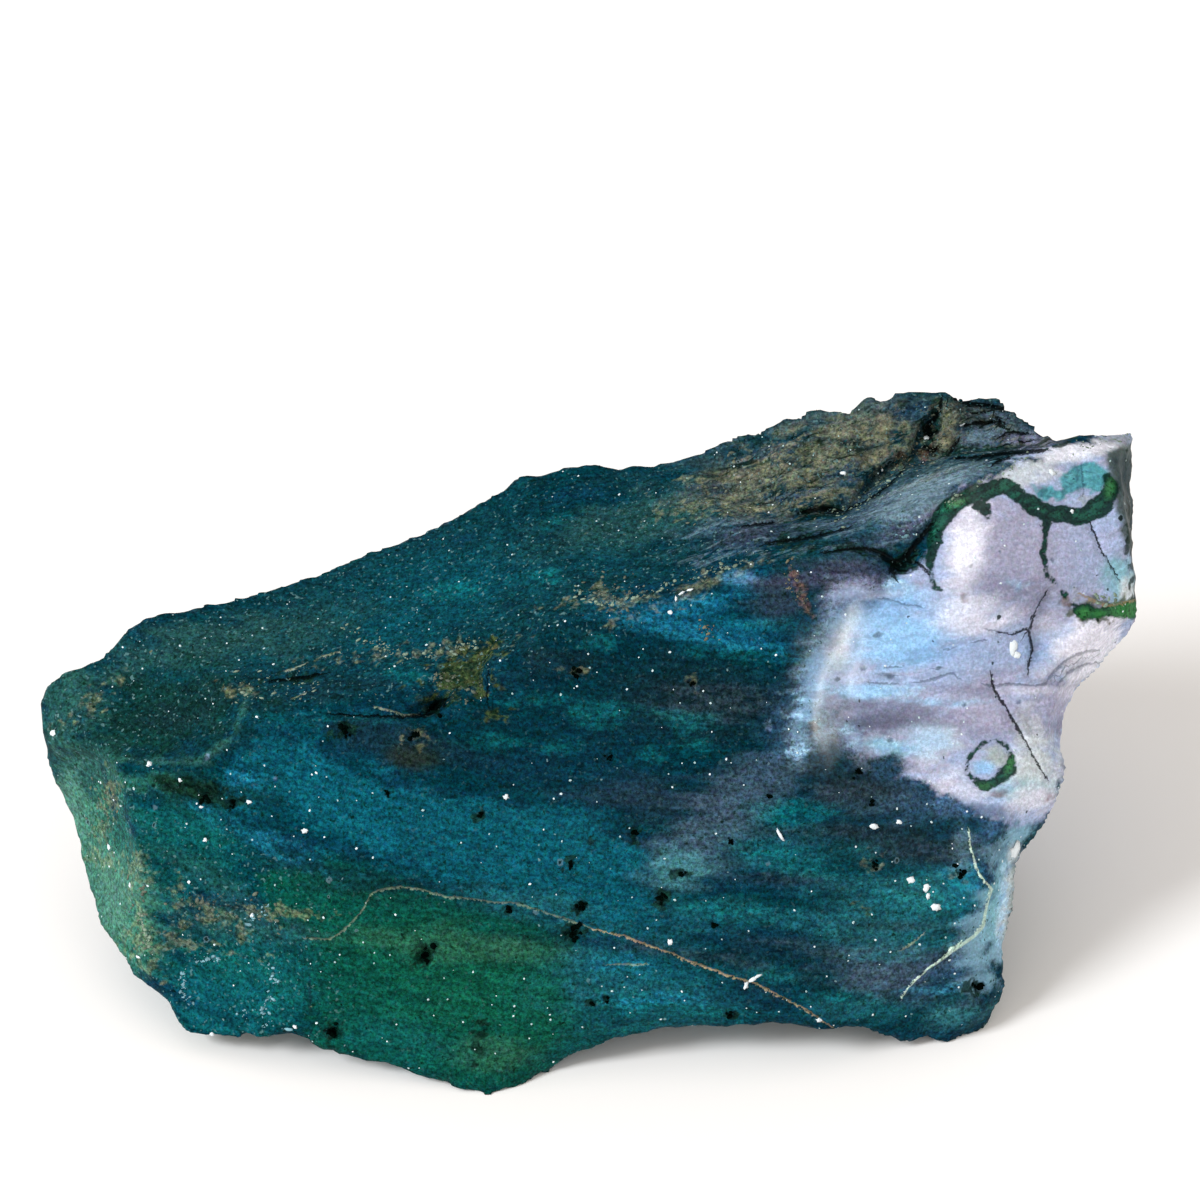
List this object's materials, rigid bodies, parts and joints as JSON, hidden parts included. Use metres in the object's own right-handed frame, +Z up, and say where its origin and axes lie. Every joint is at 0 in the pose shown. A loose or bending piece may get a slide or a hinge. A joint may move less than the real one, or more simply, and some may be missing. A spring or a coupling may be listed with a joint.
{
  "type": "rough jasper stone",
  "caption": "Broken, unpolished piece of blue-green jasper with a lavender end, a crusted back ridge and flaked scars; it lies on a flat break.",
  "frame": {"origin": "on the table under the middle of the stone's box, level with the flat break it lies on", "axes": "+X along the stone's length towards the lavender end, +Y away from the broad blue-green face, +Z up"},
  "size_m": [0.1002, 0.0498, 0.0448],
  "materials": {
    "jasper": "broken and unpolished, waxy lustre, blue-green with pale lavender at one end"
  },
  "bodies": {
    "root": {"rough_jasper": "jasper"}
  },
  "joints": []
}
